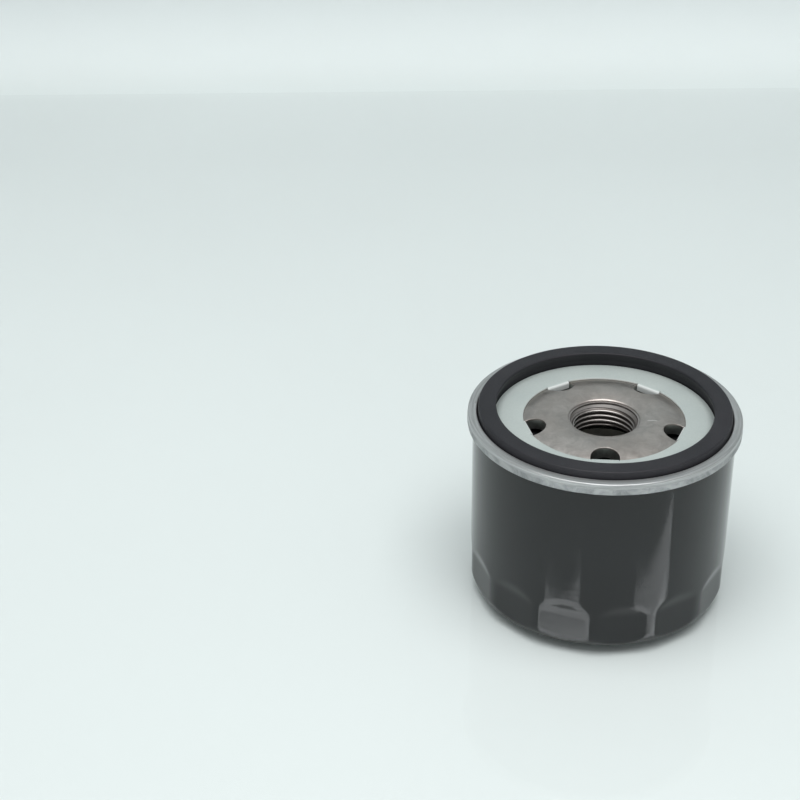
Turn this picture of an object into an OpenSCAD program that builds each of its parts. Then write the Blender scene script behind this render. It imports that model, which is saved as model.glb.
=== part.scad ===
// Spin-on oil filter: drawn steel can with flats for a cap wrench, seamed lid, threaded
// tapping plate, face gasket and the filter element with its valves inside.
// The origin is the centre of the base, +Z points along the thread axis to the gasket.

/* [Can] */
// Outside radius of the drawn can
can_r = 38; // [37.5:0.1:38.5]
// Height from the base to the top of the gasket
overall_h = 59.6; // [59:0.1:64]
// Sheet thickness of the can
can_wall = 0.5; // [0.4:0.05:0.6]
// Number of wrench flats round the closed end
flat_count = 14; // [12:1:16]
// Distance from the axis to each wrench flat
flat_apothem = 37.3; // [37.1:0.05:37.4]
// Height of the straight part of the wrench flats
flat_h = 11.6; // [9:0.1:14]
// Radius between the side and the base
base_corner_r = 4.2; // [3:0.1:4.8]

/* [Thread and plate] */
// Major radius of the stud thread, 3/4 inch
thread_major_r = 9.525; // [9.525:0.001:9.525]
// Minor radius of the threaded collar
thread_minor_r = 8.7; // [8.66:0.01:8.83]
// Thread pitch, 16 turns to the inch
thread_pitch = 1.5875; // [1.5875:0.0001:1.5875]
// Thickness of the tapping plate
plate_t = 3; // [2.5:0.1:3.2]
// Number of oil inlet holes
inlet_count = 5; // [4:1:6]
// Radius of each inlet hole
inlet_r = 4.1; // [3.6:0.1:4.2]
// Radius of the circle of inlet holes
inlet_circle_r = 21.9; // [21.5:0.1:22.2]
// Angle of the first inlet hole, in degrees
inlet_start = -87.5; // [-90:0.5:-80]

/* [Lid and gasket] */
// Sheet thickness of the lid
lid_t = 0.6; // [0.5:0.05:0.6]
// Radius of the round opening in the lid
lid_open_r = 23.4; // [23:0.1:23.8]
// Width of each locking tab
tab_w = 7.6; // [5:0.1:8]
// Inner radius of the gasket's sealing face
gasket_in_r = 31.4; // [31:0.1:31.8]
// Outer radius of the gasket's sealing face
gasket_out_r = 36.1; // [35.8:0.1:36.4]
// How far the gasket stands above the lid
gasket_stand = 4.2; // [3.8:0.1:4.4]

/* [Element] */
// Number of pleats in the paper
pleat_count = 48; // [36:1:54]
// Thickness of the paper
paper_t = 0.45; // [0.35:0.05:0.5]
// Outer radius of the end caps
cap_r = 34.2; // [33.5:0.1:35]
// Lift of the bypass valve when fully open
bypass_lift = 4; // [2:0.5:4]
// Mean radius of the bypass spring
spring_r = 5; // [4.6:0.1:5.4]
// Wire radius of the bypass spring
spring_wire_r = 0.45; // [0.35:0.05:0.5]

/* [Hidden] */
$fn = 96;
eps = 0.01;

// Heights of the lid, seam and plate, measured down from the gasket
land_z = overall_h - gasket_stand;
plate_rim_z = land_z - lid_t;
seam_top_z = land_z + 2.2;
seam_low_z = land_z - 1.3;
groove_z = land_z - 1.9;

// Radial stack of the double seam, from the can wall outwards
can_in_r = can_r - can_wall;
lid_hook_out_r = can_r + 0.5;
can_hook_out_r = lid_hook_out_r + can_wall;
seam_r = can_hook_out_r + lid_t;
chuck_in_r = can_in_r - lid_t;
can_top_z = seam_top_z - 0.5;

// Runout of the wrench flats into the round wall
flat_fade = 1.1;
flat_fade_h = 6;
flat_start = -102.2;

// Tapping plate: its dome crests part of the way in and dips again to the rolled mouth
plate_r = 31.2;
crest_r = 15.5;
crest_rise = 1.45;
mouth_dip = 1;
dome_steps = 6;
dome_fade_r = lid_open_r - 0.1;
mouth_r = 10.2;
mouth_z = plate_rim_z + 0.2;
roll_r = mouth_r + 0.6;
collar_r = 12.2;
collar_z = plate_rim_z - 7.8;
crest_half = thread_pitch / 8 + 0.02;
root_half = thread_pitch / 16;
thread_top_z = plate_rim_z - 2.05;

// Element levels, from the plate down
cap_t = 0.6;
cap_skirt = 2.2;
top_cap_z = collar_z - 2;
potting_t = 1.2;
bottom_cap_z = 12;
tube_r = 12.3;
tube_t = 0.5;
tube_in_r = tube_r - tube_t;
paper_low_z = bottom_cap_z + cap_t + potting_t;
paper_top_z = top_cap_z - cap_t - potting_t;
paper_in_r = 14.5;
paper_out_r = cap_r - 1.1;

// Bypass valve
seat_r = 6;
barrel_r = 8.5;
barrel_in_r = 8;
barrel_top_z = bottom_cap_z + 13;
flange_r = 10.8;
flange_t = 0.6;
seal_t = 1;
disc_t = 0.8;
disc_r = 7.3;
stem_r = 1.6;
disc_low_z = bottom_cap_z + seal_t;
disc_top_z = disc_low_z + disc_t;
retainer_t = 0.6;
retainer_z = barrel_top_z - retainer_t;
stem_top_z = retainer_z - bypass_lift - 0.8;
spring_turns = 4;
spring_rings = 22;
spring_sides = 10;

// Support spring and base
base_step = 1.2;
base_step_r = 24.5;
leaf_w = 9;
leaf_t = 0.7;
leaf_count = 4;

module ring(r_out, r_in, h) {
    rotate_extrude() translate([r_in, 0]) square([r_out - r_in, h]);
}

module around(count, start) {
    for (i = [0 : count - 1]) rotate(start + i * 360 / count) children();
}

// Half section of a cup with a round corner and a raised centre
module cup_section(r, low_z, corner, step_r) {
    difference() {
        union() {
            translate([0, low_z]) square([r - corner, can_top_z - low_z]);
            translate([0, low_z + corner]) square([r, can_top_z - low_z - corner]);
            translate([r - corner, low_z + corner]) circle(corner);
        }
        translate([-r, 0]) square([r, can_top_z]);
        polygon([[-1, low_z - 1], [step_r + 1, low_z - 1], [step_r, low_z],
            [step_r - 1.8, low_z + base_step], [-1, low_z + base_step]]);
    }
}

// One wrench flat: a vertical face that runs out through a ramp at its top
module flat_cutter(apothem) {
    far = can_r + 4;
    rotate([90, 0, 0])
        translate([0, 0, -can_r / 4])
            linear_extrude(can_r / 2)
                polygon([[apothem, -1], [far, -1], [far, flat_h + flat_fade_h],
                    [apothem + flat_fade, flat_h + flat_fade_h], [apothem, flat_h]]);
}

module can_body(r, low_z, corner, step_r, apothem) {
    difference() {
        rotate_extrude() cup_section(r, low_z, corner, step_r);
        around(flat_count, flat_start) flat_cutter(apothem);
    }
}

module can() {
    color("dimgray") {
        difference() {
            can_body(can_r, 0, base_corner_r, base_step_r, flat_apothem);
            can_body(can_in_r, can_wall, base_corner_r - can_wall, base_step_r + 0.3,
                flat_apothem - can_wall);
            translate([0, 0, can_top_z - 1]) cylinder(r = can_in_r, h = 2);
        }
        rotate_extrude() polygon([[can_r - eps, can_top_z - can_wall],
            [lid_hook_out_r, can_top_z - can_wall], [lid_hook_out_r, seam_low_z + 0.9],
            [can_hook_out_r, seam_low_z + 0.9], [can_hook_out_r, can_top_z],
            [can_r - eps, can_top_z]]);
    }
}

// Half section of the lid from its opening out to the folded seam
module lid_section() {
    polygon([[lid_open_r, plate_rim_z], [plate_r + 0.2, plate_rim_z],
        [plate_r + 0.2, groove_z - lid_t], [can_in_r, groove_z - lid_t],
        [can_in_r, can_top_z], [can_hook_out_r, can_top_z],
        [can_hook_out_r, seam_low_z + lid_t], [lid_hook_out_r, seam_low_z + lid_t],
        [lid_hook_out_r, can_top_z - can_wall - 0.4], [can_r, can_top_z - can_wall - 0.4],
        [can_r, seam_low_z], [seam_r - 0.3, seam_low_z], [seam_r, seam_low_z + 0.3],
        [seam_r, can_top_z - 0.4], [seam_r - 0.25, can_top_z], [seam_r - 0.9, seam_top_z - 0.1],
        [chuck_in_r + 0.6, seam_top_z], [chuck_in_r + 0.15, seam_top_z - 0.15],
        [chuck_in_r, seam_top_z - 0.6], [chuck_in_r, groove_z],
        [plate_r + 0.2 + lid_t, groove_z], [plate_r + 0.2 + lid_t, land_z - 0.3],
        [plate_r - 0.1 + lid_t, land_z], [lid_open_r, land_z]]);
}

// A tab of the lid, bent down into an inlet hole to stop the plate from turning
module lid_tab() {
    bend = 0.9;
    face_r = lid_open_r - 1.85;
    rotate([90, 0, 0])
        translate([0, 0, -tab_w / 2])
            linear_extrude(tab_w)
                difference() {
                    union() {
                        translate([face_r + bend, plate_rim_z]) square([2.2, lid_t]);
                        translate([face_r + bend, land_z - bend]) circle(bend);
                        translate([face_r, land_z - 2.3]) square([lid_t, 2.3 - bend]);
                    }
                    translate([face_r + bend, land_z - bend]) circle(bend - lid_t);
                    translate([face_r + lid_t, land_z - 3])
                        square([4, 3 - bend]);
                    translate([face_r + bend, land_z - bend - 1])
                        square([4, 1 + bend - lid_t]);
                }
}

module seaming_lid() {
    color("honeydew") {
        rotate_extrude() lid_section();
        around(inlet_count, inlet_start) lid_tab();
    }
}

module seam_sealant() {
    color("darkseagreen") {
        translate([0, 0, seam_low_z + lid_t])
            ring(can_hook_out_r, lid_hook_out_r, 0.9 - lid_t);
        translate([0, 0, can_top_z - can_wall - 0.4]) ring(lid_hook_out_r, can_r, 0.4);
    }
}

module gasket() {
    edge = 0.5;
    color("darkslategray")
        rotate_extrude()
            polygon([[plate_r + 1, groove_z], [chuck_in_r - 0.2, groove_z],
                [chuck_in_r - 0.2, land_z + 1.2], [gasket_out_r + edge, overall_h - 1.2],
                [gasket_out_r + edge * 0.6, overall_h - edge * 0.6], [gasket_out_r, overall_h],
                [gasket_in_r, overall_h], [gasket_in_r - edge * 0.6, overall_h - edge * 0.6],
                [gasket_in_r - 0.3, overall_h - 1.2], [plate_r + 1, land_z + 0.6]]);
}

// Height of the domed face above the rim at a given distance from the axis
function dome_rise_at(r) =
    crest_rise - (r > crest_r
        ? crest_rise * pow((r - crest_r) / (lid_open_r - crest_r), 2)
        : mouth_dip * pow((crest_r - r) / (crest_r - mouth_r), 2));

// Points along the dome from the rolled mouth out to the flat rim
function dome_points(shift) =
    [for (i = [0 : dome_steps])
        let (r = roll_r + (dome_fade_r - roll_r) * i / dome_steps)
        [r, plate_rim_z + shift + (i == dome_steps ? 0 : dome_rise_at(r))]];

// Half section of the domed plate with its drawn, tapped collar
module plate_section() {
    under = dome_points(-plate_t);
    difference() {
        polygon(concat(
            [[mouth_r, mouth_z]],
            dome_points(0),
            [[plate_r, plate_rim_z], [plate_r, plate_rim_z - plate_t]],
            [for (i = [dome_steps : -1 : 1]) under[i]],
            [[collar_r, under[1][1] - 0.4], [collar_r, collar_z + 0.5],
                [collar_r - 0.5, collar_z], [thread_minor_r + 0.7, collar_z],
                [thread_minor_r, collar_z + 0.7], [thread_minor_r, thread_top_z],
                [thread_major_r, thread_top_z + 0.7], [mouth_r - 0.3, mouth_z - 0.8]]));
        for (turn = [0 : 2]) {
            z = thread_top_z - 1.2 - turn * thread_pitch;
            opening = thread_pitch / 2 - crest_half;
            polygon([[thread_minor_r - eps, z - opening], [thread_major_r, z - root_half],
                [thread_major_r, z + root_half], [thread_minor_r - eps, z + opening]]);
        }
    }
}

module tapping_plate() {
    color("lightsteelblue")
        difference() {
            rotate_extrude() plate_section();
            around(inlet_count, inlet_start)
                translate([inlet_circle_r, 0, collar_z]) cylinder(r = inlet_r, h = overall_h);
        }
}

// Rubber skirt that closes the inlet holes from below when the engine stops
module anti_drainback_valve() {
    neck_r = collar_r + 0.05;
    foot_z = top_cap_z;
    lip_z = plate_rim_z - plate_t - 0.02;
    lip_r = 28.6;
    color("orangered")
        rotate_extrude()
            polygon([[neck_r, foot_z], [neck_r + 4.2, foot_z], [neck_r + 4.2, foot_z + 1.1],
                [neck_r + 1.4, foot_z + 1.4], [neck_r + 1.4, lip_z - 3.4],
                [lip_r - 1, lip_z - 1], [lip_r, lip_z - 0.8], [lip_r, lip_z],
                [lip_r - 1, lip_z], [neck_r + 1, lip_z - 2.1], [neck_r, lip_z - 2.1]]);
}

// Half section of a pressed end cap with an outer skirt and an inner flange
module cap_section(inner_r, inner_flange) {
    translate([inner_r, 0]) square([cap_r - inner_r, cap_t]);
    translate([cap_r - 0.5, 0]) square([0.5, cap_skirt]);
    if (inner_flange) translate([inner_r, 0]) square([0.5, cap_skirt]);
}

module top_end_cap() {
    color("gainsboro")
        translate([0, 0, top_cap_z]) mirror([0, 0, 1])
            rotate_extrude() cap_section(tube_in_r - 0.5, true);
}

module bottom_end_cap() {
    color("gainsboro")
        translate([0, 0, bottom_cap_z]) rotate_extrude() cap_section(barrel_r, false);
}

module top_potting() {
    color("goldenrod") translate([0, 0, paper_top_z]) ring(cap_r - 0.5, tube_r, potting_t);
}

module bottom_potting() {
    color("goldenrod")
        translate([0, 0, bottom_cap_z + cap_t]) ring(cap_r - 0.5, tube_r, potting_t);
}

module centre_tube() {
    rows = 9;
    per_row = 8;
    hole_r = 2;
    pitch_z = 3;
    low = bottom_cap_z + cap_t;
    color("silver")
        difference() {
            translate([0, 0, low]) ring(tube_r, tube_in_r, top_cap_z - cap_t - low);
            for (row = [0 : rows - 1])
                around(per_row / 2, (row % 2) * 180 / per_row)
                    translate([0, 0, low + 3.6 + row * pitch_z])
                        rotate([0, 90, 0])
                            cylinder(r = hole_r * 0.65, h = 4 * tube_r, center = true);
        }
}

// Closed zigzag outline, shifted inwards or outwards by half the paper
module pleat_outline(shift) {
    polygon([for (i = [0 : 2 * pleat_count - 1])
        let (a = 180 / pleat_count * i, r = (i % 2 == 0 ? paper_out_r : paper_in_r) + shift)
        [r * cos(a), r * sin(a)]]);
}

module filter_paper() {
    // Along a pleat the two faces stand apart by much less than the radial shift
    radial = paper_t * 4.5;
    color("tan")
        translate([0, 0, paper_low_z])
            linear_extrude(paper_top_z - paper_low_z)
                difference() {
                    pleat_outline(0);
                    pleat_outline(-radial);
                }
}

module pleat_clip() {
    clip_t = 0.3;
    color("silver")
        translate([paper_out_r + 0.05, 0, paper_low_z + 1])
            linear_extrude(paper_top_z - paper_low_z - 2)
                translate([0, -0.9]) square([clip_t, 1.8]);
}

module bypass_valve_body() {
    windows = 4;
    color("silver")
        difference() {
            union() {
                translate([0, 0, bottom_cap_z - flange_t]) ring(flange_r, seat_r, flange_t);
                translate([0, 0, bottom_cap_z])
                    ring(barrel_r, barrel_in_r, barrel_top_z - bottom_cap_z);
            }
            around(windows / 2, 0)
                translate([0, 0, bottom_cap_z + 6])
                    cube([4 * barrel_r, 6, 6], center = true);
        }
}

module bypass_valve_disc() {
    color("gray") translate([0, 0, disc_low_z]) ring(disc_r, stem_r, disc_t);
}

module bypass_valve_stem() {
    color("gray") {
        translate([0, 0, disc_low_z - 0.5]) cylinder(r = stem_r + 0.9, h = 0.5);
        translate([0, 0, disc_low_z]) cylinder(r = stem_r, h = stem_top_z - disc_low_z);
    }
}

module bypass_valve_seal() {
    color("black")
        translate([0, 0, bottom_cap_z + eps])
            difference() {
                ring(disc_r - 0.2, stem_r + 0.9, seal_t - eps);
                translate([0, 0, -1]) cylinder(r = stem_r + 0.9, h = 3);
            }
}

// Helical wire as one closed tube
function coil_point(t, side) =
    let (a = 360 * spring_turns * t, b = 360 * side / spring_sides,
        r = spring_r + spring_wire_r * cos(b),
        low = disc_top_z + spring_wire_r, high = retainer_z - spring_wire_r)
    [r * cos(a), r * sin(a), low + (high - low) * t + spring_wire_r * sin(b)];

module bypass_valve_spring() {
    rings = spring_rings * spring_turns;
    n = spring_sides;
    points = [for (k = [0 : rings]) for (s = [0 : n - 1]) coil_point(k / rings, s)];
    sides = [for (k = [0 : rings - 1]) for (s = [0 : n - 1])
        [k * n + s, (k + 1) * n + s, (k + 1) * n + (s + 1) % n, k * n + (s + 1) % n]];
    start = [for (s = [0 : n - 1]) s];
    end = [for (s = [n - 1 : -1 : 0]) rings * n + s];
    color("silver") polyhedron(points, concat([start], [end], sides));
}

module bypass_spring_retainer() {
    color("silver")
        translate([0, 0, retainer_z])
            difference() {
                cylinder(r = barrel_in_r, h = retainer_t);
                translate([0, 0, -1]) cylinder(r = 3.2, h = 3);
            }
}

// Pressed leaf spring that pushes the element up against the plate
module element_support_spring() {
    ring_out = 17.5;
    foot_r = 31;
    top_z = bottom_cap_z;
    color("lightslategray") {
        translate([0, 0, top_z - leaf_t]) ring(ring_out, flange_r + 0.4, leaf_t);
        around(leaf_count, 45)
            rotate([90, 0, 0])
                translate([0, 0, -leaf_w / 2])
                    linear_extrude(leaf_w)
                        polygon([[16, top_z - leaf_t], [16, top_z], [18.2, top_z],
                            [27.4, can_wall + leaf_t], [foot_r, can_wall + leaf_t],
                            [foot_r, can_wall], [27, can_wall], [17.8, top_z - leaf_t]]);
    }
}

can();
seaming_lid();
seam_sealant();
gasket();
tapping_plate();
anti_drainback_valve();
top_end_cap();
bottom_end_cap();
top_potting();
bottom_potting();
centre_tube();
filter_paper();
pleat_clip();
bypass_valve_body();
bypass_valve_disc();
bypass_valve_stem();
bypass_valve_seal();
bypass_valve_spring();
bypass_spring_retainer();
element_support_spring();
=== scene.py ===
"""Spin-on oil filter standing on its closed end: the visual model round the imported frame."""
import math

import bmesh
import bpy
from mathutils import Matrix, Vector


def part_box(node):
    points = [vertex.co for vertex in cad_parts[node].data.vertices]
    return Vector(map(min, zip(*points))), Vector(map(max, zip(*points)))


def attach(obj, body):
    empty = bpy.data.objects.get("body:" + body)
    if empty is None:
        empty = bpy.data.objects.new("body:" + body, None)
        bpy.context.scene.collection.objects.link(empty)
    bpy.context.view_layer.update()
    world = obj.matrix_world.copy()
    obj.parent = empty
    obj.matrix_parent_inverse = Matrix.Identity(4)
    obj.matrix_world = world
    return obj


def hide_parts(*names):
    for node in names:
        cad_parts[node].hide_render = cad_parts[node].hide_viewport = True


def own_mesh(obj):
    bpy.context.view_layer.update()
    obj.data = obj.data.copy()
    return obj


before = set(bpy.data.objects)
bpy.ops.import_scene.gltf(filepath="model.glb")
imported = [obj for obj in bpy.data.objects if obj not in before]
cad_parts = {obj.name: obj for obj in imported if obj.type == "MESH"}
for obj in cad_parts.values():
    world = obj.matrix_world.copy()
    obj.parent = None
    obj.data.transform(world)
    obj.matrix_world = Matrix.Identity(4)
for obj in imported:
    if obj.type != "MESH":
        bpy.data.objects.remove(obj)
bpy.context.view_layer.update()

MM = 0.001
TAU = 2 * math.pi

# ---------------------------------------------------------------- dimensions from the frame
can_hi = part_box("can")[1]
lid_lo, lid_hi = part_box("seaming_lid")
gasket_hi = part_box("gasket")[1]
plate_lo, plate_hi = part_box("tapping_plate")
skirt_lo, skirt_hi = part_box("anti_drainback_valve")
spring_lo, spring_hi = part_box("bypass_valve_spring")

SEAM_R = lid_hi[0]
SHEET = 0.5 * MM
LID_T = 0.6 * MM
CAN_R = SEAM_R - LID_T - 2 * SHEET
TOP_Z = gasket_hi[2]
LAND_Z = TOP_Z - 4.2 * MM
PLATE_Z = LAND_Z - LID_T
SEAM_TOP_Z = lid_hi[2]
SEAM_LOW_Z = LAND_Z - 1.3 * MM
GROOVE_Z = lid_lo[2] + LID_T
CAN_TOP_Z = can_hi[2]
COLLAR_Z = plate_lo[2]

# ---------------------------------------------------------------- numbers shared with the CAD
LID_OPEN_R = 23.4 * MM
LID_GROOVE_IN_R = 32.0 * MM
GASKET_IN_R = 31.4 * MM
GASKET_OUT_R = 36.1 * MM
SPRING_WIRE_R = 0.45 * MM
FLATS = 14
FLAT_START = math.radians(-102.2)
FLAT_APOTHEM = 37.3 * MM
FLAT_H = 11.6 * MM
FLAT_FADE_SLOPE = 0.25
FLAT_FADE_SOFT = 1.6 * MM
CORNER_R = 4.2 * MM
BASE_STEP = 1.2 * MM
BASE_STEP_R = 24.5 * MM
INLETS = 5
INLET_START = math.radians(-87.5)
INLET_R = 4.1 * MM
INLET_CIRCLE_R = 21.9 * MM
TAB_HALF = 3.8 * MM
TAB_DROP = 2.3 * MM
PLATE_T = 3.0 * MM
CREST_R = 15.5 * MM
CREST_RISE = 1.45 * MM
MOUTH_DIP = 1.0 * MM
DOME_FADE_R = LID_OPEN_R - 0.1 * MM
MOUTH_R = 10.2 * MM
MOUTH_Z = PLATE_Z + 0.2 * MM
COLLAR_R = 12.2 * MM
THREAD_MAJOR_R = 9.525 * MM
THREAD_MINOR_R = 8.7 * MM
THREAD_TOP_Z = PLATE_Z - 2.05 * MM
PITCH = 1.5875 * MM

# ---------------------------------------------------------------- numbers of the visual alone
THREAD_PHASE = 0.09
FLAT_ZONE_Z = 30.0 * MM
FLAT_BLEND = 0.2 * MM
COLUMNS_PER_FLAT = 30
NOTCH_GAP = 0.2 * MM
NOTCH_DEPTH = 0.35 * MM
TAB_STEPS = 6
ARC_STEPS = 36
SCRATCH_X = 13.8 * MM
SCRATCH_Y = -1.4 * MM
SCRATCH_TURN = -0.12
CAMERA_YAW = -0.1373
SWEEP_R = 0.06


def dome_z(r):
    """Height of the plate's face, which crests part of the way in and dips to the mouth."""
    if r > CREST_R:
        share = min((r - CREST_R) / (LID_OPEN_R - CREST_R), 1)
        return PLATE_Z + CREST_RISE * (1 - share * share)
    share = (CREST_R - r) / (CREST_R - MOUTH_R)
    return PLATE_Z + CREST_RISE - MOUTH_DIP * share * share


# ---------------------------------------------------------------- mesh tools
def rounded(corners, steps=5):
    """Outline from (r, z, radius) corners, with each corner of radius > 0 drawn as an arc."""
    most = 0.49
    out = []
    n = len(corners)
    for i, (x, y, radius) in enumerate(corners):
        here = Vector((x, y))
        if radius <= 0:
            out.append((x, y))
            continue
        before = Vector(corners[i - 1][:2])
        after = Vector(corners[(i + 1) % n][:2])
        a, b = (before - here).normalized(), (after - here).normalized()
        half = a.angle(b) / 2
        reach = min(radius / math.tan(half), (before - here).length * most,
                    (after - here).length * most)
        radius = reach * math.tan(half)
        centre = here + (a + b).normalized() * (radius / math.sin(half))
        start, end = here + a * reach - centre, here + b * reach - centre
        sweep = start.angle_signed(end)
        for k in range(steps + 1):
            turned = Matrix.Rotation(-sweep * k / steps, 2) @ start
            out.append(tuple(centre + turned))
    return out


def dense(outline, gap, closed=True):
    """The same outline with points no further apart than gap."""
    out = []
    count = len(outline) if closed else len(outline) - 1
    for i in range(count):
        a, b = Vector(outline[i]), Vector(outline[(i + 1) % len(outline)])
        parts = max(1, math.ceil((b - a).length / gap))
        out += [tuple(a.lerp(b, k / parts)) for k in range(parts)]
    if not closed:
        out.append(outline[-1])
    return out


def mesh_object(name, verts, faces, sharp=35, closed=True):
    """A smooth-shaded object, sharp past that many degrees; a closed one gets outward faces."""
    mesh = bpy.data.meshes.new(name)
    mesh.from_pydata([tuple(v) for v in verts], [], faces)
    bm = bmesh.new()
    bm.from_mesh(mesh)
    bmesh.ops.remove_doubles(bm, verts=bm.verts, dist=1e-7)
    bmesh.ops.dissolve_degenerate(bm, dist=1e-8, edges=bm.edges)
    if closed:
        bmesh.ops.recalc_face_normals(bm, faces=bm.faces)
    bm.to_mesh(mesh)
    bm.free()
    mesh.shade_smooth()
    mesh.set_sharp_from_angle(angle=math.radians(sharp))
    obj = bpy.data.objects.new(name, mesh)
    bpy.context.scene.collection.objects.link(obj)
    return obj


def grid_faces(columns, rows, close_rows=True, close_columns=True):
    """Quads between neighbouring columns; both directions close on themselves unless told not to."""
    faces = []
    for c in range(columns if close_columns else columns - 1):
        d = (c + 1) % columns
        for r in range(rows if close_rows else rows - 1):
            s = (r + 1) % rows
            faces.append((c * rows + r, d * rows + r, d * rows + s, c * rows + s))
    return faces


def lathe(name, outline, columns):
    """Turns a closed (r, z) outline round Z."""
    verts = []
    for c in range(columns):
        a = TAU * c / columns
        verts += [(r * math.cos(a), r * math.sin(a), z) for r, z in outline]
    return mesh_object(name, verts, grid_faces(columns, len(outline)))


def helix_tube(name, radius, wire, low_z, high_z, turns, dead_turns=0.9, sides=12, rings=44):
    """A compression spring with closed end turns and flat-cut wire ends."""
    total = turns + 2 * dead_turns
    count = int(rings * total)
    end_climb = 0.9 * wire
    live_climb = high_z - low_z - 2 * wire - 2 * end_climb
    swell = 0.25
    verts, faces = [], []
    for k in range(count + 1):
        t = total * k / count
        a = TAU * t
        live = min(max((t - dead_turns) / turns, 0), 1)
        ease = live * live * (3 - 2 * live) * swell + live * (1 - swell)
        ends = min(t / dead_turns, 1) + max((t - dead_turns - turns) / dead_turns, 0)
        z = low_z + wire + ends * end_climb + ease * live_climb
        out = Vector((math.cos(a), math.sin(a), 0))
        for s in range(sides):
            b = TAU * s / sides
            p = out * (radius + wire * math.cos(b)) + Vector((0, 0, z + wire * math.sin(b)))
            verts.append(p)
    for k in range(count):
        for s in range(sides):
            t = (s + 1) % sides
            faces.append((k * sides + s, (k + 1) * sides + s,
                          (k + 1) * sides + t, k * sides + t))
    faces.append(tuple(range(sides)))
    faces.append(tuple(count * sides + s for s in reversed(range(sides))))
    return mesh_object(name, verts, faces, 50)


# ---------------------------------------------------------------- node tools for materials
class Shader:
    """A Principled material built from plain node calls, in metres of the object's own frame."""

    def __init__(self, name, **values):
        self.material = bpy.data.materials.new(name)
        self.material.use_nodes = True
        self.tree = self.material.node_tree
        self.bsdf = self.tree.nodes["Principled BSDF"]
        for key, value in values.items():
            self.bsdf.inputs[key.replace("_", " ")].default_value = value
        self.coords = self.tree.nodes.new("ShaderNodeTexCoord").outputs["Object"]

    def node(self, kind, settings=None, **inputs):
        """A node with settings on it; i0, i1 name inputs by number, other keys by their label."""
        made = self.tree.nodes.new(kind)
        for key, value in (settings or {}).items():
            setattr(made, key, value)
        for key, value in inputs.items():
            numbered = key[0] == "i" and key[1:].isdigit()
            socket = made.inputs[int(key[1:]) if numbered else key.replace("_", " ")]
            if isinstance(value, bpy.types.NodeSocket):
                self.tree.links.new(value, socket)
            else:
                socket.default_value = value
        return made

    def math(self, operation, a, b=0.0, c=0.0):
        """One sum on numbers or sockets."""
        return self.node("ShaderNodeMath", {"operation": operation}, i0=a, i1=b, i2=c).outputs[0]

    def noise(self, scale, detail=4.0, rough=0.55, vector=None, distortion=0.0):
        """Noise from about 0.2 to 0.8, at scale waves a metre unless vector sets the size."""
        made = self.node("ShaderNodeTexNoise", {"noise_dimensions": "3D"},
                         Vector=vector or self.coords, Scale=scale, Detail=detail,
                         Roughness=rough, Distortion=distortion)
        return made.outputs["Fac"]

    def span(self, value, low, high):
        """0 at low and 1 at high, level beyond them; low may be the larger."""
        made = self.node("ShaderNodeMapRange", {"clamp": True}, Value=value, From_Min=low,
                         From_Max=high)
        return made.outputs["Result"]

    def mix(self, fac, a, b):
        """A colour that goes from a to b."""
        return self.node("ShaderNodeMix", {"data_type": "RGBA"}, i0=fac, i6=a, i7=b).outputs[2]

    def axial(self):
        """Distance from the Z axis, and height."""
        split = self.node("ShaderNodeSeparateXYZ", Vector=self.coords).outputs
        flat = self.node("ShaderNodeCombineXYZ", X=split["X"], Y=split["Y"]).outputs[0]
        length = self.node("ShaderNodeVectorMath", {"operation": "LENGTH"}, i0=flat)
        return length.outputs["Value"], split["Z"]

    def polar(self, around, outward, upward):
        """Coordinates that run round the axis, outwards and upwards, each with its own scale."""
        split = self.node("ShaderNodeSeparateXYZ", Vector=self.coords).outputs
        radius, height = self.axial()
        angle = self.math("ARCTAN2", split["Y"], split["X"])
        made = self.node("ShaderNodeCombineXYZ", X=self.math("MULTIPLY", angle, around),
                         Y=self.math("MULTIPLY", radius, outward),
                         Z=self.math("MULTIPLY", height, upward))
        return made.outputs[0]

    def turned(self, angle, along, across, shift=(0, 0, 0)):
        """Coordinates turned about Z and stretched, for marks that run one way."""
        made = self.node("ShaderNodeMapping", None, Vector=self.coords, Location=shift,
                         Rotation=(0, 0, angle), Scale=(along, across, along))
        return made.outputs["Vector"]

    def link(self, value, key):
        """Feeds a socket into the shader."""
        self.tree.links.new(value, self.bsdf.inputs[key])

    def blend(self, fac, a, b):
        """A number that goes from a to b."""
        made = self.node("ShaderNodeMix", {"data_type": "FLOAT"}, i0=fac, i2=a, i3=b)
        return made.outputs[0]

    def nick(self, x, y, angle, half_length, half_width):
        """A short straight mark at one place on a face that looks up, faded at its edges."""
        moved = self.node("ShaderNodeMapping", {"vector_type": "TEXTURE"}, Vector=self.coords,
                          Location=(x, y, 0), Rotation=(0, 0, angle)).outputs["Vector"]
        split = self.node("ShaderNodeSeparateXYZ", Vector=moved).outputs
        along = self.span(self.math("ABSOLUTE", split["X"]), half_length, half_length * 0.7)
        across = self.span(self.math("ABSOLUTE", split["Y"]), half_width, half_width * 0.4)
        return self.math("MULTIPLY", along, across)

    def bump(self, height, distance, strength, normal=None):
        """Relief on top of an earlier one, with its depth in metres."""
        inputs = {"Height": height, "Distance": distance, "Strength": strength}
        if normal is not None:
            inputs["Normal"] = normal
        made = self.node("ShaderNodeBump", None, **inputs)
        return made.outputs["Normal"]


def rgb(r, g, b):
    """Linear colour from display values of 0 to 255."""
    def linear(v):
        v /= 255
        return v / 12.92 if v <= 0.04045 else ((v + 0.055) / 1.055) ** 2.4
    return (linear(r), linear(g), linear(b), 1.0)


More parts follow.
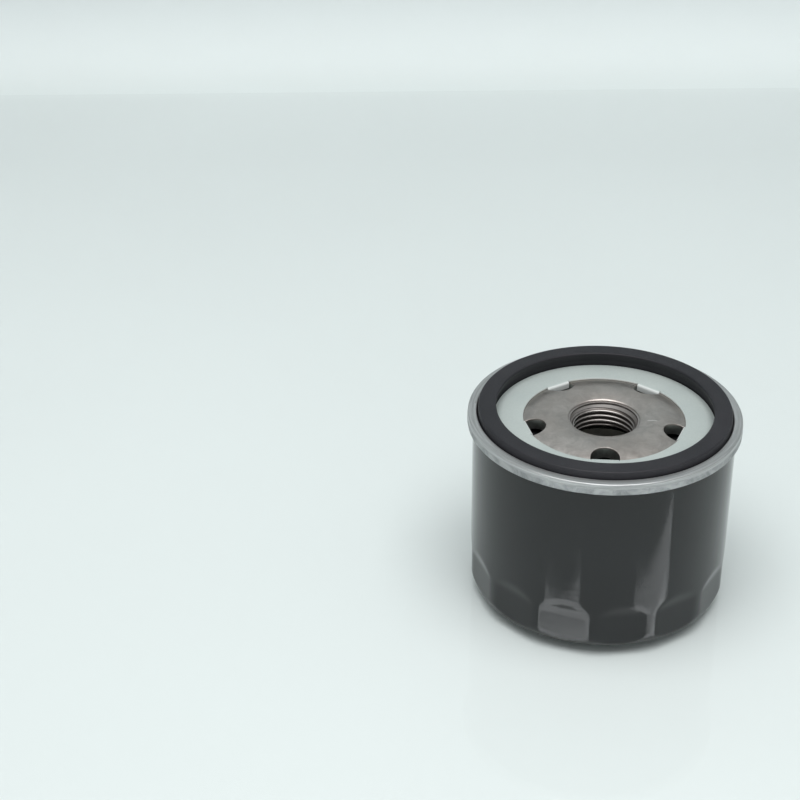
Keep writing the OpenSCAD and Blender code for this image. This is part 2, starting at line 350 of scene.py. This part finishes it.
# ---------------------------------------------------------------- materials
def black_paint():
    """Stoved gloss paint: faint ripples that run round the can and slow changes of gloss."""
    s = Shader("black_paint")
    ripples = s.polar(2.2, 40.0, 900.0)
    tone = s.span(s.noise(45, 4), 0.3, 0.7)
    s.link(s.mix(tone, rgb(9, 10, 11), rgb(16, 17, 19)), "Base Color")
    cloud = s.span(s.noise(110, 5, 0.65), 0.35, 0.7)
    s.link(s.math("MULTIPLY_ADD", cloud, 0.04, 0.05), "Roughness")
    rippled = s.bump(s.noise(1.0, 3, 0.5, ripples), 0.00001, 0.7)
    s.link(s.bump(s.noise(500, 2, 0.5), 0.000004, 0.6, rippled), "Normal")
    return s.material


def zinc_plate():
    """Zinc-plated sheet: matte and faintly green on the land, satin and rubbed on the seam, with a
    painted highlight on the opening's rolled edge and the tab bends.
    """
    s = Shader("zinc_plate")
    rolled = s.polar(3.0, 2600.0, 2600.0)
    radius, height = s.axial()
    seam = s.span(radius, GASKET_OUT_R - 0.6 * MM, GASKET_OUT_R + 0.3 * MM)
    side = s.math("MULTIPLY", seam, s.span(height, SEAM_TOP_Z - 1.2 * MM, SEAM_TOP_Z - 1.7 * MM))
    cloud = s.span(s.noise(70, 6, 0.65), 0.3, 0.7)
    speck = s.noise(1500, 3, 0.65)
    streak = s.noise(1.0, 4, 0.6, rolled)
    smear = s.span(s.noise(210, 5, 0.7, distortion=0.8), 0.36, 0.66)
    land = s.mix(cloud, rgb(172, 181, 179), rgb(181, 189, 186))
    land = s.mix(s.math("MULTIPLY", s.span(speck, 0.35, 0.7), 0.35), land, rgb(166, 175, 172))
    # Painted highlight: the opening's rolled edge and the tab bends are coloured near white, with lower
    # roughness there.
    bent = s.math("MULTIPLY", s.span(height, LAND_Z - 0.02 * MM, LAND_Z - 0.25 * MM),
                  s.span(radius, LID_OPEN_R + 0.1 * MM, LID_OPEN_R - 0.1 * MM))
    land = s.mix(bent, land, rgb(226, 230, 228))
    roll = s.mix(s.span(streak, 0.35, 0.65), rgb(160, 162, 162), rgb(188, 190, 190))
    band = s.mix(smear, rgb(116, 119, 120), rgb(166, 168, 168))
    s.link(s.mix(seam, land, s.mix(side, roll, band)), "Base Color")
    matte = s.blend(bent, s.math("MULTIPLY_ADD", s.span(speck, 0.3, 0.7), 0.12, 0.55), 0.34)
    satin = s.math("MULTIPLY_ADD", s.math("MULTIPLY", smear, side), 0.12, 0.4)
    s.link(s.blend(seam, matte, satin), "Roughness")
    s.link(s.blend(seam, 0.12, 0.75), "Metallic")
    coarse = s.bump(s.math("MULTIPLY", streak, seam), 0.00002, 0.7)
    dented = s.bump(s.math("MULTIPLY", s.noise(330, 3, 0.6), side), 0.00008, 0.6, coarse)
    s.link(s.bump(speck, 0.00001, 0.6, dented), "Normal")
    return s.material


def bare_steel():
    """Oiled plate: brown-grey mottling, rub marks, punched walls darkened with painted shade, bright
    cut thread with painted shade in its roots.
    """
    s = Shader("bare_steel", Metallic=1.0)
    radius, height = s.axial()
    mottle = s.span(s.noise(300, 6, 0.72, distortion=0.6), 0.36, 0.66)
    broad = s.span(s.noise(60, 5, 0.6), 0.36, 0.66)
    grey = s.mix(mottle, rgb(168, 163, 160), rgb(199, 194, 190))
    tone = s.mix(s.math("MULTIPLY", broad, 0.6), grey, rgb(170, 159, 152))
    for angle, seed in ((0.5, 0.0), (1.9, 0.4), (2.7, 0.9)):
        hair = s.noise(1.0, 2, 0.5, s.turned(angle, 90, 2600, (seed, seed, 0)))
        rub = s.math("MULTIPLY", s.span(hair, 0.66, 0.76), broad)
        tone = s.mix(s.math("MULTIPLY", rub, 0.5), tone, rgb(208, 204, 200))
    scratch = s.nick(SCRATCH_X, SCRATCH_Y, SCRATCH_TURN, 1.6 * MM, 0.2 * MM)
    tone = s.mix(scratch, tone, rgb(236, 234, 230))
    # Painted shade: the punched inlet walls, deeper than the dome face and outside 13 mm radius, get a
    # darker tone.
    share = s.span(radius, CREST_R, LID_OPEN_R)
    face = s.math("MULTIPLY_ADD", s.math("MULTIPLY", share, share), -CREST_RISE, PLATE_Z + CREST_RISE)
    depth = s.span(s.math("SUBTRACT", face, height), 0.25 * MM, 0.8 * MM)
    punched = s.math("MULTIPLY", depth, s.span(radius, 13.0 * MM, 13.5 * MM))
    tone = s.mix(punched, tone, rgb(164, 167, 163))
    # Painted shade in the thread: the crests keep the bright cut-metal colour and the roots are painted
    # dark.
    cut = s.mix(s.span(radius, THREAD_MINOR_R + 0.03 * MM, THREAD_MINOR_R + 0.3 * MM),
                rgb(204, 199, 196), rgb(80, 75, 72))
    cone = s.span(height, THREAD_TOP_Z + 0.1 * MM, THREAD_TOP_Z + 0.5 * MM)
    cut = s.mix(cone, cut, rgb(176, 171, 168))
    tapped = s.span(radius, 10.3 * MM, 10.1 * MM)
    s.link(s.mix(tapped, tone, cut), "Base Color")
    rough = s.math("MULTIPLY_ADD", mottle, 0.1, 0.33)
    s.link(s.math("MULTIPLY_ADD", tapped, 0.02, rough), "Roughness")
    s.link(s.bump(s.noise(900, 4, 0.65), 0.000012, 0.7), "Normal")
    return s.material


def rubber(name, dark, light, rough):
    """Moulded nitrile with a fine grain and a little bloom."""
    s = Shader(name, Roughness=rough, Specular_IOR_Level=0.28)
    bloom = s.span(s.noise(70, 5), 0.35, 0.75)
    s.link(s.mix(bloom, rgb(*dark), rgb(*light)), "Base Color")
    grain = s.noise(2600, 2, 0.6)
    s.link(s.math("MULTIPLY_ADD", s.span(grain, 0.3, 0.7), 0.12, rough - 0.06), "Roughness")
    s.link(s.bump(grain, 0.00001, 0.6), "Normal")
    return s.material


def sheet_steel(name, dark, light, rough):
    """Pressed sheet or wire with a soft drawn grain."""
    s = Shader(name, Metallic=1.0)
    grain = s.noise(1.0, 3, 0.6, s.polar(3.0, 1500.0, 1500.0))
    cloud = s.span(s.noise(90, 4), 0.3, 0.7)
    s.link(s.mix(cloud, rgb(*dark), rgb(*light)), "Base Color")
    s.link(s.math("MULTIPLY_ADD", s.span(grain, 0.3, 0.7), 0.16, rough), "Roughness")
    s.link(s.bump(grain, 0.00001, 0.5), "Normal")
    return s.material


def pleated_paper():
    """Resin-treated paper: fibres, fine dimples and darker folds."""
    s = Shader("filter_paper", Roughness=0.85)
    fibre = s.noise(900, 5, 0.7, distortion=0.4)
    radius, _ = s.axial()
    fold = s.span(radius, 31.5 * MM, 33.2 * MM)
    base = s.mix(s.span(fibre, 0.3, 0.7), rgb(196, 164, 108), rgb(222, 194, 140))
    s.link(s.mix(s.math("MULTIPLY", fold, 0.35), base, rgb(176, 140, 86)), "Base Color")
    s.link(s.bump(fibre, 0.00004, 0.7), "Normal")
    return s.material


def cast_resin(name, dark, light, rough):
    """Cured plastisol or sealing compound, slightly cloudy."""
    s = Shader(name, Roughness=rough)
    cloud = s.span(s.noise(160, 4), 0.3, 0.7)
    s.link(s.mix(cloud, rgb(*dark), rgb(*light)), "Base Color")
    s.link(s.bump(s.noise(500, 2), 0.00003, 0.5), "Normal")
    return s.material


def studio_white():
    """Pale, faintly blue backing under the clear sheet, a tone darker where it turns up."""
    s = Shader("studio_white", Roughness=0.6, Specular_IOR_Level=0.0)
    cloud = s.span(s.noise(3.0, 2), 0.3, 0.7)
    _, height = s.axial()
    flat = s.mix(cloud, rgb(223, 230, 229), rgb(227, 234, 233))
    s.link(s.mix(s.span(height, 0.0, SWEEP_R), flat, rgb(180, 186, 187)), "Base Color")
    return s.material


def clear_gloss():
    """Clear polished sheet: only its surface reflection shows, stronger at a low angle."""
    head_on, steepness, gloss_roughness = 0.04, 4.4, 0.025
    material = bpy.data.materials.new("clear_gloss")
    material.use_nodes = True
    tree = material.node_tree
    tree.nodes.clear()
    out = tree.nodes.new("ShaderNodeOutputMaterial")
    mixer = tree.nodes.new("ShaderNodeMixShader")
    facing = tree.nodes.new("ShaderNodeLayerWeight")
    facing.inputs["Blend"].default_value = 0.5
    rise = tree.nodes.new("ShaderNodeMath")
    rise.operation = "POWER"
    rise.inputs[1].default_value = steepness
    share = tree.nodes.new("ShaderNodeMath")
    share.operation = "MULTIPLY_ADD"
    share.inputs[1].default_value = 1 - head_on
    share.inputs[2].default_value = head_on
    through = tree.nodes.new("ShaderNodeBsdfTransparent")
    gloss = tree.nodes.new("ShaderNodeBsdfGlossy")
    gloss.inputs["Roughness"].default_value = gloss_roughness
    tree.links.new(facing.outputs["Facing"], rise.inputs[0])
    tree.links.new(rise.outputs[0], share.inputs[0])
    tree.links.new(share.outputs[0], mixer.inputs[0])
    tree.links.new(through.outputs[0], mixer.inputs[1])
    tree.links.new(gloss.outputs[0], mixer.inputs[2])
    tree.links.new(mixer.outputs[0], out.inputs["Surface"])
    return material


MATERIALS = {
    "black_paint": black_paint(),
    "zinc_plate": zinc_plate(),
    "bare_steel": bare_steel(),
    "gasket_rubber": rubber("gasket_rubber", (35, 35, 39), (44, 43, 47), 0.5),
    "valve_rubber": rubber("valve_rubber", (24, 24, 25), (34, 34, 35), 0.45),
    "sealing_compound": cast_resin("sealing_compound", (96, 118, 104), (120, 140, 124), 0.6),
    "tin_plate": sheet_steel("tin_plate", (190, 190, 186), (214, 214, 208), 0.26),
    "potting": cast_resin("potting", (176, 112, 52), (196, 134, 70), 0.35),
    "filter_paper": pleated_paper(),
    "valve_steel": sheet_steel("valve_steel", (160, 160, 160), (186, 186, 184), 0.3),
    "spring_steel": sheet_steel("spring_steel", (112, 114, 118), (146, 148, 152), 0.28),
}


def wear(obj, slot):
    """Puts one of the materials on an object."""
    obj.data.materials.clear()
    obj.data.materials.append(MATERIALS[slot])


def finish_piece(obj, slot, node):
    """Gives a piece the material of its slot, puts it on the fixed body and hides the CAD node that it
    stands for.
    """
    wear(obj, slot)
    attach(obj, "filter")
    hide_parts(node)


# ---------------------------------------------------------------- can
def smooth_min(a, b, soft):
    """The smaller of two lengths, with the corner between them rounded over soft."""
    h = max(soft - abs(a - b), 0) / soft
    return min(a, b) - h * h * soft / 4


def flat_limit(angle, z, inset):
    """Distance to the wrench-flat surface at this angle and height."""
    pitch = TAU / FLATS
    off = (angle - FLAT_START + pitch / 2) % pitch - pitch / 2
    ramp = max(z - FLAT_H, 0)
    fade = FLAT_FADE_SLOPE * ramp * ramp / (ramp + FLAT_FADE_SOFT)
    return (FLAT_APOTHEM - inset + fade) / math.cos(off)


def make_can():
    """Drawn cup with wrench flats, rolled base corner, dished base and the seam's body hook."""
    outer = [(0.0, BASE_STEP, 0), (BASE_STEP_R - 2.4 * MM, BASE_STEP, 0.9 * MM),
             (BASE_STEP_R - 0.6 * MM, 0, 0.9 * MM), (CAN_R, 0, CORNER_R),
             (CAN_R, SEAM_LOW_Z, 0), (CAN_R, CAN_TOP_Z - SHEET, 0),
             (CAN_R + SHEET, CAN_TOP_Z - SHEET, 0), (CAN_R + SHEET, SEAM_LOW_Z + 0.9 * MM, 0)]
    inner = [(CAN_R + 2 * SHEET, SEAM_LOW_Z + 0.9 * MM, 0), (CAN_R + 2 * SHEET, CAN_TOP_Z, 0.3 * MM),
             (CAN_R - SHEET, CAN_TOP_Z, 0.2 * MM), (CAN_R - SHEET, SHEET, CORNER_R - SHEET),
             (BASE_STEP_R, SHEET, 0.8 * MM), (BASE_STEP_R - 1.9 * MM, BASE_STEP + SHEET, 0.9 * MM),
             (0.0, BASE_STEP + SHEET, 0)]
    outline = [(r, z, 0) for r, z in dense(rounded(outer, 10), 0.8 * MM, closed=False)]
    outline += [(r, z, SHEET) for r, z in dense(rounded(inner, 8), 2.5 * MM, closed=False)]
    columns = FLATS * COLUMNS_PER_FLAT
    verts = []
    for c in range(columns):
        a = TAU * c / columns
        for r, z, inset in outline:
            if z < FLAT_ZONE_Z and r > BASE_STEP_R:
                r = smooth_min(r, flat_limit(a, z, inset), FLAT_BLEND)
            verts.append((r * math.cos(a), r * math.sin(a), z))
    faces = grid_faces(columns, len(outline), close_rows=False)
    finish_piece(mesh_object("can_shell", verts, faces, 60), "black_paint", "can")


# ---------------------------------------------------------------- lid with seam and tabs
def lid_outline():
    """Lid section from the underside of the opening, out round the seam, and back over the land."""
    wall_out = CAN_R - SHEET
    wall_in = wall_out - LID_T
    hook_out = CAN_R + SHEET
    fold_out = CAN_R + 2 * SHEET
    groove_out = LID_GROOVE_IN_R - LID_T
    return rounded([
        (groove_out, PLATE_Z, 0.3 * MM), (groove_out, GROOVE_Z - LID_T, 0.5 * MM),
        (wall_out, GROOVE_Z - LID_T, 0.5 * MM), (wall_out, CAN_TOP_Z, 0.2 * MM),
        (fold_out, CAN_TOP_Z, 0.2 * MM), (fold_out, SEAM_LOW_Z + LID_T, 0.1 * MM),
        (hook_out, SEAM_LOW_Z + LID_T, 0), (hook_out, CAN_TOP_Z - SHEET - 0.4 * MM, 0),
        (CAN_R + 0.05 * MM, CAN_TOP_Z - SHEET - 0.4 * MM, 0),
        (CAN_R + 0.05 * MM, SEAM_LOW_Z, 0.35 * MM),
        (SEAM_R, SEAM_LOW_Z, 0.4 * MM), (SEAM_R, SEAM_TOP_Z - 1.4 * MM, 0.3 * MM),
        (SEAM_R - 0.1 * MM, SEAM_TOP_Z - 1.0 * MM, 0.03 * MM),
        (SEAM_R - 0.06 * MM, SEAM_TOP_Z - 0.95 * MM, 0.03 * MM),
        (SEAM_R - 0.14 * MM, SEAM_TOP_Z - 0.12 * MM, 0.45 * MM),
        (wall_in + 0.25 * MM, SEAM_TOP_Z, 0.3 * MM), (wall_in, SEAM_TOP_Z - 0.25 * MM, 0.25 * MM),
        (wall_in, GROOVE_Z, 0.5 * MM), (LID_GROOVE_IN_R, GROOVE_Z, 0.4 * MM),
        (LID_GROOVE_IN_R, LAND_Z, 0.6 * MM)], 6)


def quarter(radius, steps=8):
    """(along, down) of a quarter turn that starts level and ends upright."""
    turns = [math.pi / 2 * k / steps for k in range(steps + 1)]
    return [(radius * math.sin(a), radius * (1 - math.cos(a))) for a in turns]


def plain_edge():
    """Rounded sheet edge, as (inset, drop) from the opening's rim at the top of the land."""
    soft = 0.22 * MM
    top = [(along - soft, drop) for along, drop in quarter(soft)]
    wall = [(0, soft + (LID_T - 2 * soft) * (k + 1) / 5) for k in range(4)]
    low = [(along - soft, LID_T - drop) for along, drop in reversed(quarter(soft))]
    return top + wall + low


def tab_edge():
    """Sheet bent down into a tab, as (inset, drop); it has as many points as plain_edge()."""
    bend, reach, soft = 0.95 * MM, 0.95 * MM, 0.15 * MM
    top = [(along - bend + reach, drop) for along, drop in quarter(bend)]
    foot = [(reach, TAB_DROP - soft), (reach - soft, TAB_DROP),
            (reach - LID_T + soft, TAB_DROP), (reach - LID_T, TAB_DROP - soft)]
    inner = quarter(bend - LID_T)
    low = [(along - bend + reach, drop + LID_T) for along, drop in reversed(inner)]
    return top + foot + low


def lid_columns():
    """(tab centre, offset across it or angle from it, kind) for each column round the lid."""
    columns = []
    pitch = TAU / INLETS
    notch_half = TAB_HALF + NOTCH_GAP
    step_out = TAB_HALF + NOTCH_GAP / 10
    edge = math.asin(notch_half / LID_OPEN_R)
    free = pitch - 2 * edge
    for i in range(INLETS):
        centre = INLET_START + i * pitch
        columns += [(centre, -notch_half, "edge"), (centre, -step_out, "notch")]
        columns += [(centre, TAB_HALF * k / TAB_STEPS, "tab") for k in range(-TAB_STEPS, TAB_STEPS + 1)]
        columns += [(centre, step_out, "notch"), (centre, notch_half, "edge")]
        columns += [(centre, edge + free * k / ARC_STEPS, "arc") for k in range(1, ARC_STEPS)]
    return columns


def make_lid():
    """Seaming lid in one piece: land, gasket groove, double seam and five bent tabs."""
    outline = dense(lid_outline(), 0.9 * MM, closed=False)
    columns = lid_columns()
    margin, steps = 1.2 * MM, 6
    verts = []
    for centre, offset, kind in columns:
        rim = LID_OPEN_R + (NOTCH_DEPTH if kind == "notch" else 0)
        path = tab_edge() if kind == "tab" else plain_edge()
        start, end = outline[-1][0], outline[0][0]
        points = [(start + (rim + margin - start) * k / steps, LAND_Z) for k in range(1, steps + 1)]
        for inset, drop in path:
            r = math.hypot(LID_OPEN_R - inset, offset) if kind == "tab" else rim - inset
            points.append((r, LAND_Z - drop))
        points += [(rim + margin + (end - rim - margin) * k / steps, PLATE_Z) for k in range(steps)]
        for r, z in points + outline:
            turn = offset if kind == "arc" else math.asin(offset / r)
            verts.append((r * math.cos(centre + turn), r * math.sin(centre + turn), z))
    rows = len(verts) // len(columns)
    obj = mesh_object("lid_and_seam", verts, grid_faces(len(columns), rows), 38)
    finish_piece(obj, "zinc_plate", "seaming_lid")


# ---------------------------------------------------------------- gasket
def make_gasket():
    """Moulded ring that sits in the lid's groove and widens above it to its sealing face."""
    out_r, in_r, softening = gasket_hi[0] - 0.05 * MM, LID_GROOVE_IN_R + 0.3 * MM, 0.35 * MM
    outline = rounded([
        (in_r, GROOVE_Z, 0.3 * MM), (out_r, GROOVE_Z, 0.3 * MM), (out_r, LAND_Z + 1.6 * MM, 0.5 * MM),
        (GASKET_OUT_R + softening, TOP_Z, 0.5 * MM), (GASKET_IN_R - softening, TOP_Z, 0.5 * MM),
        (in_r - 0.1 * MM, LAND_Z + 1.2 * MM, 0.8 * MM)], 7)
    finish_piece(lathe("sealing_gasket", dense(outline, 0.6 * MM), 256), "gasket_rubber", "gasket")


# ---------------------------------------------------------------- tapping plate
def thread_profile(phase):
    """Wall radius of the tapped bore at a place in its pitch, with softened corners."""
    crest, root = 1 / 8, 1 / 16
    shifts = (-0.045, -0.022, 0, 0.022, 0.045)
    total = 0
    for shift in shifts:
        from_root = abs((phase + shift) % 1 - 0.5)
        share = (from_root - root) / (0.5 - crest - root)
        total += THREAD_MAJOR_R - min(max(share, 0), 1) * (THREAD_MAJOR_R - THREAD_MINOR_R)
    return total / len(shifts)


def bore_radius(z, phase):
    """Tapped bore with a chamfer at its foot and a wide countersink under the rolled mouth."""
    r = max(thread_profile(phase), THREAD_MAJOR_R + 0.15 * MM - (z - COLLAR_Z))
    if z > THREAD_TOP_Z:
        climb = (z - THREAD_TOP_Z) / (MOUTH_Z - 0.9 * MM - THREAD_TOP_Z)
        r = max(r, THREAD_MINOR_R + 0.25 * MM + min(climb, 1) * 0.9 * MM)
    return r


def make_plate():
    """Domed plate with a rolled mouth, tapped collar and five punched inlets."""
    reach, tilt, groove = 0.8 * MM, 0.5, 0.14 * MM
    roll_r = MOUTH_R + reach
    fall = dome_z(roll_r) - MOUTH_Z
    dome = [DOME_FADE_R + (roll_r - DOME_FADE_R) * k / 20 for k in range(20)]
    turns = [tilt + (math.pi / 2 - tilt) * k / 8 for k in range(9)]
    mouth = [(MOUTH_R + reach * (1 - math.sin(a)) / (1 - math.sin(tilt)),
              MOUTH_Z + fall * math.cos(a) / math.cos(tilt)) for a in turns]
    mouth += [(MOUTH_R + groove, MOUTH_Z - groove), (MOUTH_R - groove / 2, MOUTH_Z - 2 * groove)]
    shoulder = COLLAR_R + 3.0 * MM
    under = rounded([
        (plate_hi[0], PLATE_Z, 0.3 * MM), (plate_hi[0], PLATE_Z - PLATE_T, 0.4 * MM),
        (DOME_FADE_R, PLATE_Z - PLATE_T, 2.0 * MM),
        (shoulder, dome_z(shoulder) - PLATE_T, 1.5 * MM),
        (COLLAR_R, dome_z(COLLAR_R) - PLATE_T, 1.0 * MM), (COLLAR_R, COLLAR_Z, 0.5 * MM),
        (THREAD_MAJOR_R + 0.25 * MM, COLLAR_Z, 0)], 6)[:-1]
    upper = [(r, dome_z(r)) for r in dome] + mouth
    fixed = dense(list(reversed(upper)) + under, 0.9 * MM, closed=False)
    low, high = COLLAR_Z, upper[-1][1]
    columns, per_turn = 240, 26
    rows = math.ceil(((high - low) / PITCH + 1) * per_turn) + 2
    verts = []
    for c in range(columns + 1):
        turn = c / columns
        column = list(fixed) + [(bore_radius(low, turn), low)]
        for k in range(1, rows):
            z = low + PITCH * (k / per_turn + turn - 1)
            z = min(max(z, low), high - 0.02 * MM)
            column.append((bore_radius(z, k / per_turn - THREAD_PHASE), z))
        angle = TAU * (c % columns) / columns
        verts += [(r * math.cos(angle), r * math.sin(angle), z) for r, z in column]
    count = len(verts) // (columns + 1)
    faces = grid_faces(columns + 1, count, close_columns=False)
    plate = mesh_object("threaded_plate", verts, faces, 40)
    for i in range(INLETS):
        punch(plate, INLET_START + i * TAU / INLETS)
    plate.data.shade_smooth()
    plate.data.set_sharp_from_angle(angle=math.radians(32))
    finish_piece(plate, "bare_steel", "tapping_plate")


def punch(plate, angle):
    """Cuts one inlet hole with a rolled upper edge that follows the dome."""
    soft, sides = 0.1 * MM, 72
    steps = [(INLET_R, None)]
    steps += [(INLET_R + drop, along - soft) for along, drop in quarter(soft, 3)]
    steps.append((INLET_R + soft, None))
    centre = Vector((math.cos(angle), math.sin(angle), 0)) * INLET_CIRCLE_R
    verts = []
    for j, (r, h) in enumerate(steps):
        for k in range(sides):
            b = TAU * k / sides
            p = centre + Vector((r * math.cos(b), r * math.sin(b), 0))
            end_z = COLLAR_Z if j == 0 else TOP_Z
            verts.append((p.x, p.y, end_z if h is None else dome_z(p.length) + h))
    faces = grid_faces(len(steps), sides, close_columns=False)
    faces.append(tuple(reversed(range(sides))))
    faces.append(tuple((len(steps) - 1) * sides + k for k in range(sides)))
    cutter = mesh_object("punch", verts, faces)
    cut = plate.modifiers.new("punch", "BOOLEAN")
    cut.operation = "DIFFERENCE"
    cut.solver = "EXACT"
    cut.object = cutter
    apply_modifiers(plate)
    bpy.data.objects.remove(cutter)


def apply_modifiers(obj):
    """Replaces the object's mesh with the result of its modifiers."""
    graph = bpy.context.evaluated_depsgraph_get()
    mesh = bpy.data.meshes.new_from_object(obj.evaluated_get(graph))
    obj.modifiers.clear()
    obj.data = mesh


# ---------------------------------------------------------------- soft and sprung pieces
def make_skirt():
    """Rubber anti-drainback skirt, drawn at rest; its lip presses on the plate, and the real lip bends
    down with the oil.
    """
    neck = COLLAR_R + 0.06 * MM
    foot, lip, lip_r = skirt_lo[2], skirt_hi[2], skirt_hi[0]
    outline = rounded([
        (neck, foot, 0.1 * MM), (neck + 4.2 * MM, foot, 0.4 * MM),
        (neck + 4.2 * MM, foot + 1.1 * MM, 0.4 * MM), (neck + 1.4 * MM, foot + 1.4 * MM, 0.5 * MM),
        (neck + 1.4 * MM, lip - 3.4 * MM, 1.0 * MM), (lip_r - 1.0 * MM, lip - 1.0 * MM, 0.8 * MM),
        (lip_r, lip - 0.8 * MM, 0.25 * MM), (lip_r, lip, 0.2 * MM), (lip_r - 1.0 * MM, lip, 0.3 * MM),
        (neck + 1.0 * MM, lip - 2.1 * MM, 0.7 * MM), (neck, lip - 2.1 * MM, 0.2 * MM)], 5)
    obj = lathe("drainback_rubber", dense(outline, 0.8 * MM), 160)
    finish_piece(obj, "valve_rubber", "anti_drainback_valve")
    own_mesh(obj)


def make_bypass_spring():
    """Wire compression spring between the valve disc and its retainer."""
    low, high = spring_lo[2], spring_hi[2]
    mean_r = spring_hi[0] - SPRING_WIRE_R
    obj = helix_tube("bypass_coil", mean_r, SPRING_WIRE_R, low, high, turns=3.2)
    finish_piece(obj, "spring_steel", "bypass_valve_spring")
    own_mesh(obj)


# ---------------------------------------------------------------- CAD nodes that stay
KEPT_NODES = {
    "seam_sealant": "sealing_compound", "top_end_cap": "tin_plate",
    "bottom_end_cap": "tin_plate", "top_potting": "potting", "bottom_potting": "potting",
    "centre_tube": "tin_plate", "filter_paper": "filter_paper", "pleat_clip": "tin_plate",
    "bypass_valve_body": "tin_plate", "bypass_valve_disc": "valve_steel",
    "bypass_valve_stem": "valve_steel", "bypass_valve_seal": "gasket_rubber",
    "bypass_spring_retainer": "valve_steel", "element_support_spring": "spring_steel",
}


def dress_cad_nodes():
    """Gives each CAD node that stays its procedural material."""
    for node, slot in KEPT_NODES.items():
        wear(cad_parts[node], slot)


# ---------------------------------------------------------------- stage, light and camera
def make_stage():
    """Clear glossy sheet over a white backing that turns up into a backdrop."""
    square = Matrix.Rotation(-CAMERA_YAW, 3, "Z")
    front_y, back_y, back_top, side, sheet_depth = -1.6, 0.43, 1.6, 2.4, 2.5 * MM
    profile = [(front_y, -sheet_depth), (back_y, -sheet_depth)]
    profile += [(back_y + along, drop - sheet_depth) for along, drop in quarter(SWEEP_R)[1:]]
    profile.append((back_y + SWEEP_R, back_top))
    verts = []
    for y, z in profile:
        verts += [square @ Vector((-side, y, z)), square @ Vector((side, y, z))]
    faces = [(2 * i, 2 * i + 1, 2 * i + 3, 2 * i + 2) for i in range(len(profile) - 1)]
    sweep = mesh_object("studio_sweep", verts, faces, 60, closed=False)
    sweep.data.materials.append(studio_white())
    lift = -0.02 * MM
    corners = [(-side, front_y, lift), (side, front_y, lift), (side, back_y, lift),
               (-side, back_y, lift)]
    corners = [square @ Vector(corner) for corner in corners]
    top = mesh_object("studio_gloss", corners, [(0, 1, 2, 3)], 60, closed=False)
    top.data.materials.append(clear_gloss())
    return top


def softbox(name, azimuth, elevation, distance, width, height, radiance, roll=0.0):
    """A rectangular light that faces the object, placed and turned in degrees."""
    light = bpy.data.lights.new(name, "AREA")
    light.shape = "RECTANGLE"
    light.size = width
    light.size_y = height
    light.energy = radiance * math.pi * width * height
    around, up = math.radians(azimuth), math.radians(elevation)
    toward = Vector((math.cos(around) * math.cos(up), math.sin(around) * math.cos(up),
                     math.sin(up)))
    obj = bpy.data.objects.new(name, light)
    rolled = Matrix.Rotation(math.radians(roll), 3, "Z")
    facing = toward.to_track_quat("Z", "Y").to_matrix() @ rolled
    obj.matrix_world = Matrix.Translation(toward * distance) @ facing.to_4x4()
    bpy.context.scene.collection.objects.link(obj)
    return obj


def make_light(sheet):
    """Even light from above; the front softboxes show only as mirrored in the glossy sheet."""
    world = bpy.data.worlds.new("studio")
    bpy.context.scene.world = world
    world.use_nodes = True
    sky = world.node_tree.nodes["Background"]
    sky.inputs["Color"].default_value = rgb(230, 234, 234)
    sky.inputs["Strength"].default_value = 0.56
    softbox("overhead", -90, 76, 1.1, 1.0, 0.8, 4.1)
    tint = (0.94, 0.975, 1.0)
    lamps = [softbox("right_face", -36.3, 43.6, 1.5, 0.68, 0.55, 24, -10.5),
             softbox("right_core", -36.3, 45.6, 1.49, 0.6, 0.48, 24, -10.5),
             softbox("left_face", -117.5, 45.6, 1.5, 0.69, 0.55, 24, -1.7),
             softbox("left_core", -117.5, 45.6, 1.49, 0.62, 0.48, 24, -1.7)]
    mirrored = bpy.data.collections.new("mirrored_in_sheet")
    mirrored.objects.link(sheet)
    for lamp in lamps:
        lamp.data.color = tint
        lamp.visible_diffuse = False
        lamp.light_linking.receiver_collection = mirrored


def make_camera():
    """Looks down at thirty degrees from in front, with the object right of the middle."""
    place = Vector((0.0, -0.4316, 0.3086))
    yaw, pitch, roll = CAMERA_YAW, 0.5234, -0.0096
    forward = Vector((math.sin(yaw) * math.cos(pitch), math.cos(yaw) * math.cos(pitch),
                      -math.sin(pitch)))
    side = Vector((math.cos(yaw), -math.sin(yaw), 0))
    up = side.cross(forward)
    right = side * math.cos(roll) + up * math.sin(roll)
    top = up * math.cos(roll) - side * math.sin(roll)
    data = bpy.data.cameras.new("camera")
    data.sensor_width = 36
    data.lens = 77.2
    data.clip_start, data.clip_end = 0.01, 20
    obj = bpy.data.objects.new("camera", data)
    turn = Matrix((right, top, -forward)).transposed()
    obj.matrix_world = Matrix.Translation(place) @ turn.to_4x4()
    bpy.context.scene.collection.objects.link(obj)
    bpy.context.scene.camera = obj


bpy.context.scene.view_settings.view_transform = "Standard"
make_camera()
make_light(make_stage())
make_can()
make_lid()
make_gasket()
make_plate()
make_skirt()
make_bypass_spring()
dress_cad_nodes()
